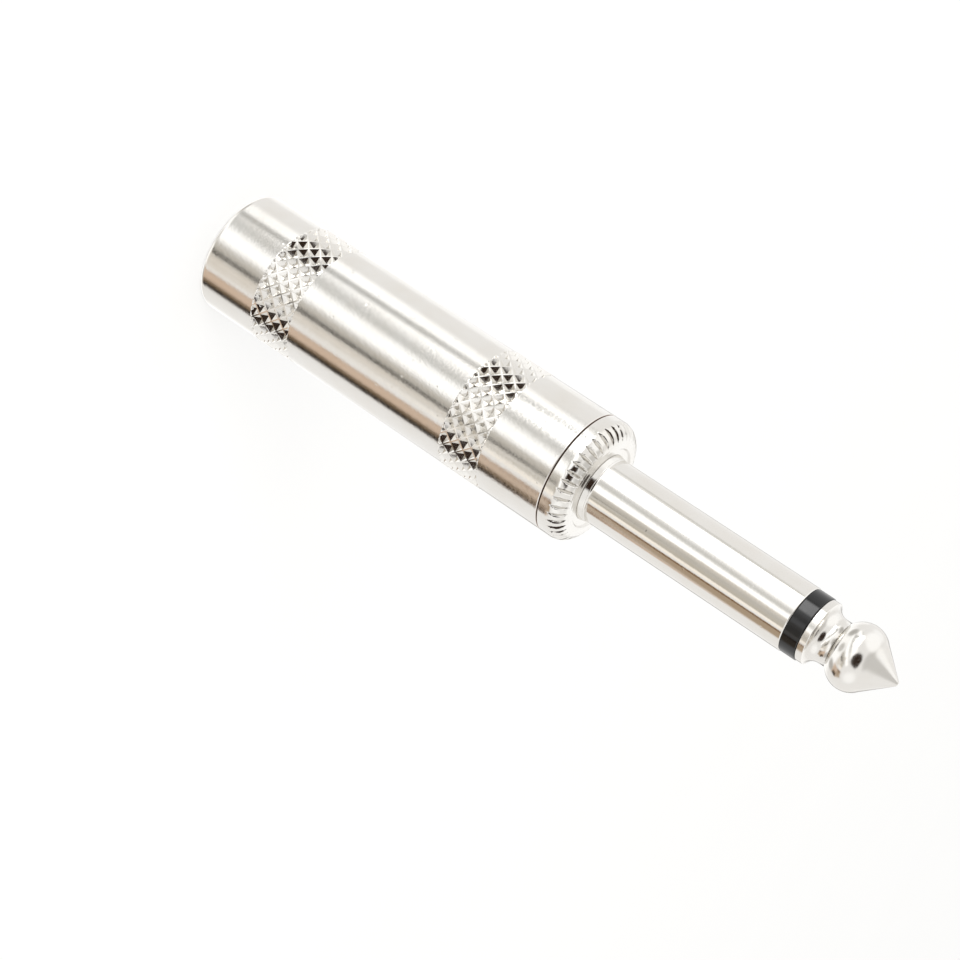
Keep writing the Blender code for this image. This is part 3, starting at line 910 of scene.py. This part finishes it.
# Round patches: bearing, height above the horizon, radius, softness, level and tint, with
# the angles in degrees. Their bearings count from the camera's, as those of the walls do.
# The last two are dark, and stand on the camera's side.
PATCHES = (
    (180.0, -54.0, 26.0, 12.0, 1.3, "#FFFFFF"),
    (0.0, -90.0, 36.0, 18.0, 1.35, "#FFFFFF"),
    (180.0, 30.0, 16.0, 20.0, 1.25, "#FFFFFF"),
    (-60.0, 80.0, 17.0, 16.0, 0.8, "#F6F4F1"),
    (80.0, 27.0, 6.0, 22.0, 1.24, "#FFFFFF"),
    (-120.0, 12.0, 8.0, 16.0, 1.22, "#FFFFFF"),
    (-84.0, 27.0, 22.0, 16.0, 1.3, "#FFFFFF"),
    (180.0, -60.0, 7.0, 9.0, 0.5, "#F4F1EC"),
    (0.0, -60.0, 7.0, 9.0, 0.78, "#F4F1EC"),
    (-84.0, -48.0, 8.0, 10.0, 0.64, "#F4F1EC"),
    (96.0, -50.0, 7.0, 10.0, 0.64, "#F4F1EC"),
    (8.0, 29.0, 18.5, 7.0, 0.034, "#F0B890"),
    (25.0, 38.0, 8.5, 5.0, 0.034, "#F0B890"),
)
# The level of the room between the strips, and how soft a strip's two ends are, as a sine.
ROOM_LEVEL = 1.08
STRIP_END_SOFT = 0.05
# In degrees: the camera's bearing, and the bearing from there and the height of the axis
# that the lamps run along.
CAMERA_BEARING = -95.9
LAMPS_BEARING = 73.0
LAMPS_HEIGHT = 29.0


def towards(bearing, height):
    """The direction at a bearing and a height, in degrees."""
    turn, up = math.radians(bearing), math.radians(height)
    return Vector(
        (math.cos(up) * math.cos(turn), math.cos(up) * math.sin(turn), math.sin(up))
    )


def shone(level, hex_colour):
    """A colour of light: a level times a tint."""
    return tuple(level * part for part in linear(hex_colour))


def room(stage):
    """The room as a world: even and white for the camera and for plain surfaces, and
    strips and patches round the plug for what mirrors it."""
    world = bpy.data.worlds.new("pale_studio_room")
    bpy.context.scene.world = world
    world.use_nodes = True
    tree = world.node_tree
    tree.nodes.clear()
    place = add_node(tree, "ShaderNodeTexCoord").outputs["Generated"]
    facing = Matrix.Rotation(math.radians(-CAMERA_BEARING), 3, "Z")
    along = towards(LAMPS_BEARING, LAMPS_HEIGHT)
    side = (Vector((1.0, 0.0, 0.0)) - along * along.x).normalized()
    lamps = Matrix((side, along.cross(side), along)) @ facing
    ways = {}
    for name, turn in (("walls", facing), ("lamps", lamps)):
        turned = add_node(
            tree, "ShaderNodeMapping", Vector=place, Rotation=tuple(turn.to_euler())
        ).outputs[0]
        axes = add_node(tree, "ShaderNodeSeparateXYZ", Vector=turned).outputs
        settings = {"operation": "ARCTAN2"}
        bearing = add_node(tree, "ShaderNodeMath", settings, i0=axes["Y"], i1=axes["X"])
        ways[name] = (turned, bearing.outputs[0], axes["Z"])
    shade = shone(ROOM_LEVEL, "#FCFBFA")
    for way, middle, half_width, soft, start, end, level, tint in STRIPS:
        _, bearing, height = ways[way]
        across = window(
            tree, bearing, math.radians(middle), math.radians(half_width), math.radians(soft)
        )
        ends = (start, end) if way == "walls" else (90.0 - start, 90.0 - end)
        low, high = sorted(math.sin(math.radians(value)) for value in ends)
        within = window(tree, height, (low + high) / 2, (high - low) / 2, STRIP_END_SOFT)
        settings = {"operation": "MULTIPLY"}
        both = add_node(tree, "ShaderNodeMath", settings, i0=across, i1=within).outputs[0]
        shade = add_node(
            tree, "ShaderNodeMix", MIX_COLOURS, i0=both, i6=shade, i7=shone(level, tint)
        ).outputs[2]
    for bearing_deg, height_deg, spread, soft, level, tint in PATCHES:
        aim = tuple(towards(bearing_deg, height_deg))
        settings = {"operation": "DOT_PRODUCT"}
        near = add_node(tree, "ShaderNodeVectorMath", settings, i0=ways["walls"][0], i1=aim)
        inside = add_node(
            tree,
            "ShaderNodeMapRange",
            SMOOTH_STEP,
            Value=near.outputs["Value"],
            From_Min=math.cos(math.radians(spread + soft)),
            From_Max=math.cos(math.radians(spread)),
        ).outputs[0]
        shade = add_node(
            tree, "ShaderNodeMix", MIX_COLOURS, i0=inside, i6=shade, i7=shone(level, tint)
        ).outputs[2]
    path = add_node(tree, "ShaderNodeLightPath").outputs
    mirrored, even, white = (
        add_node(tree, "ShaderNodeBackground", Color=light, Strength=strength).outputs[0]
        for light, strength in (
            (shade, 1.0),
            ((1.0, 0.995, 0.985), stage.surroundings),
            ((1.0, 1.0, 1.0), 1.0),
        )
    )
    unseen = add_node(
        tree, "ShaderNodeMixShader", i0=path["Is Glossy Ray"], i1=even, i2=mirrored
    ).outputs[0]
    seen = add_node(
        tree, "ShaderNodeMixShader", i0=path["Is Camera Ray"], i1=unseen, i2=white
    ).outputs[0]
    add_node(tree, "ShaderNodeOutputWorld", Surface=seen)


def pale_floor(stage):
    """The floor: white card, matte, with a haze of 40 mm blotches too faint to notice. The
    camera gets half of its light from the card itself, so that it stays white and keeps a
    soft shadow."""
    size = 3.0
    glow = 0.49
    dim, bright = 0.62, 0.64
    mesh = bpy.data.meshes.new("floor_card")
    mesh.from_pydata(
        [(-size, -size, 0.0), (size, -size, 0.0), (size, size, 0.0), (-size, size, 0.0)],
        [],
        [(0, 1, 2, 3)],
    )
    floor = bpy.data.objects.new("floor_card", mesh)
    bpy.context.scene.collection.objects.link(floor)
    made, tree = new_material("white_card")
    haze = add_node(
        tree,
        "ShaderNodeTexNoise",
        Vector=in_millimetres(tree),
        Scale=1.0 / 40.0,
        Detail=2.0,
        Roughness=0.5,
    )
    tint = add_node(
        tree,
        "ShaderNodeMix",
        MIX_COLOURS,
        i0=haze.outputs["Fac"],
        i6=[dim * part for part in stage.floor],
        i7=[bright * part for part in stage.floor],
    )
    card = add_node(tree, "ShaderNodeBsdfDiffuse", Color=tint.outputs[2])
    path = add_node(tree, "ShaderNodeLightPath").outputs
    settings = {"operation": "MULTIPLY"}
    seen = add_node(tree, "ShaderNodeMath", settings, i0=path["Is Camera Ray"], i1=glow)
    own = add_node(
        tree, "ShaderNodeEmission", Color=(1.0, 1.0, 1.0), Strength=seen.outputs[0]
    )
    both = add_node(tree, "ShaderNodeAddShader", i0=card.outputs[0], i1=own.outputs[0])
    add_node(tree, "ShaderNodeOutputMaterial", Surface=both.outputs[0])
    mesh.materials.append(made)
    floor.visible_glossy = False


def soft_lamp(name, power, size, away, distance, target):
    """A square soft lamp that stands away from a point, in a direction, and faces it."""
    data = bpy.data.lights.new(name, "AREA")
    data.energy = power
    data.size = size
    data.color = (1.0, 0.985, 0.96)
    lamp = bpy.data.objects.new(name, data)
    lamp.location = Vector(target) + away * distance
    lamp.rotation_euler = away.to_track_quat("Z", "Y").to_euler()
    lamp.visible_glossy = False
    bpy.context.scene.collection.objects.link(lamp)


def add_camera():
    """The photograph's view: its lens and place were worked out from the plug's outline.

    right and back are the camera's own axes, as that fit gave them for a camera on the
    bearing of -90 degrees. All of it is then turned to the camera's bearing."""
    data = bpy.data.cameras.new("photo_view")
    data.sensor_width = 36.0
    data.lens = 91.9
    data.clip_start = 0.01
    data.clip_end = 20.0
    camera = bpy.data.objects.new("photo_view", data)
    bpy.context.scene.collection.objects.link(camera)
    right = Vector((-0.551474, 0.33063, 0.76587))
    back = Vector((-0.02446, -0.92412, 0.38133))
    axes = Matrix((right, back.cross(right), back)).transposed().to_4x4()
    axes.translation = Vector((0.0, -0.20421, 0.11759))
    camera.matrix_world = Matrix.Rotation(math.radians(CAMERA_BEARING + 90.0), 4, "Z") @ axes
    bpy.context.scene.camera = camera


# Operators


class PieceOperator:
    """What the operators share."""

    bl_options = {"REGISTER", "UNDO"}

    def execute(self, context):
        self.build(context.scene.jack_plug_shape, context.scene.jack_plug_finish)
        return {"FINISHED"}


class JACKPLUG_OT_shell(PieceOperator, bpy.types.Operator):
    """Make the knurled shell"""

    bl_idname = "jackplug.shell"
    bl_label = "Shell"

    def build(self, shape, finish):
        plate = bright_nickel_plate("nickel_plate_shell", finish, finish.barrel_rough, 0.8, 0.8)
        show("knurled_shell", shell_mesh(shape), plate, "barrel", "shell_nickel", "shell")


class JACKPLUG_OT_collar(PieceOperator, bpy.types.Operator):
    """Make the fluted collar"""

    bl_idname = "jackplug.collar"
    bl_label = "Collar"

    def build(self, shape, finish):
        plate = bright_nickel_plate("nickel_plate_collar", finish, finish.barrel_rough, 0.6, 0.4)
        show("fluted_collar", collar_mesh(shape), plate, "insert", "collar_nickel", "collar")


class JACKPLUG_OT_finger(PieceOperator, bpy.types.Operator):
    """Make the finger's tube and its tip"""

    bl_idname = "jackplug.finger"
    bl_label = "Finger and tip"

    def build(self, shape, finish):
        plate = bright_nickel_plate("nickel_plate_sleeve", finish, finish.finger_rough, 0.3, 0.4)
        show("finger_sleeve", sleeve_mesh(), plate, "insert", "sleeve_nickel", "sleeve")
        mirror = bright_nickel_plate("nickel_plate_tip", finish, finish.tip_rough, 0.2, 0.2)
        show("finger_tip", tip_mesh(), mirror, "insert", "tip_nickel", "tip_contact")


class JACKPLUG_OT_insulators(PieceOperator, bpy.types.Operator):
    """Make the black ring, the fibre bush and the liner"""

    bl_idname = "jackplug.insulators"
    bl_label = "Insulators"

    def build(self, shape, finish):
        black = polished_black_plastic(finish)
        show("black_ring", ring_mesh(), black, "insert", "black_plastic", "tip_insulator")
        brown = brown_fibre(finish)
        show("fibre_bush", bush_mesh(), brown, "insert", "brown_fibre", "rear_bush")
        milky = milky_liner(finish)
        show("liner_sleeve", liner_mesh(), milky, "liner_tube", "liner_plastic", "liner")


class JACKPLUG_OT_terminals(PieceOperator, bpy.types.Operator):
    """Finish the two terminals and make their washer"""

    bl_idname = "jackplug.terminals"
    bl_label = "Terminals"

    def build(self, shape, finish):
        tin = tinned_brass(finish)
        show("rivet_ring", washer_mesh(), tin, "insert", "tinned_brass", "rivet_washer")
        for name in ("sleeve_lug", "tip_lug"):
            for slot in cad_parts[name].material_slots:
                slot.material = tin


class JACKPLUG_OT_stage(bpy.types.Operator):
    """Make the floor, the light and the camera"""

    bl_idname = "jackplug.stage"
    bl_label = "Stage"
    bl_options = {"REGISTER", "UNDO"}

    def execute(self, context):
        stage = context.scene.jack_plug_stage
        room(stage)
        pale_floor(stage)
        soft_lamp("soft_key", stage.lamp, 0.5, towards(-112.0, 38.0), 0.9, (0.0, 0.0, 0.03))
        add_camera()
        return {"FINISHED"}


class JACKPLUG_PT_panel(bpy.types.Panel):
    """The plug's settings and buttons"""

    bl_idname = "JACKPLUG_PT_panel"
    bl_label = "Mono jack plug"
    bl_space_type = "VIEW_3D"
    bl_region_type = "UI"
    bl_category = "Jack plug"

    def draw(self, context):
        layout = self.layout
        for title, holder in HOLDERS.items():
            box = layout.box()
            box.label(text=title)
            group = getattr(context.scene, holder)
            for key in group.__annotations__:
                box.prop(group, key)
        for operator in OPERATORS:
            layout.operator(operator.bl_idname)


GROUPS = (JackPlugShape, JackPlugFinish, JackPlugStage)
HOLDERS = {"Shape": "jack_plug_shape", "Finish": "jack_plug_finish", "Stage": "jack_plug_stage"}
OPERATORS = (
    JACKPLUG_OT_shell,
    JACKPLUG_OT_collar,
    JACKPLUG_OT_finger,
    JACKPLUG_OT_insulators,
    JACKPLUG_OT_terminals,
    JACKPLUG_OT_stage,
)


def register():
    for made in (*GROUPS, *OPERATORS, JACKPLUG_PT_panel):
        bpy.utils.register_class(made)
    for holder, group in zip(HOLDERS.values(), GROUPS):
        setattr(bpy.types.Scene, holder, bpy.props.PointerProperty(type=group))


def unregister():
    for holder in HOLDERS.values():
        delattr(bpy.types.Scene, holder)
    for made in reversed((*GROUPS, *OPERATORS, JACKPLUG_PT_panel)):
        bpy.utils.unregister_class(made)


def main():
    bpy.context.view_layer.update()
    register()
    bpy.context.scene.view_settings.view_transform = "Standard"
    bpy.ops.jackplug.shell()
    bpy.ops.jackplug.collar()
    bpy.ops.jackplug.finger()
    bpy.ops.jackplug.insulators()
    bpy.ops.jackplug.terminals()
    bpy.ops.jackplug.stage()


if __name__ == "__main__":
    main()
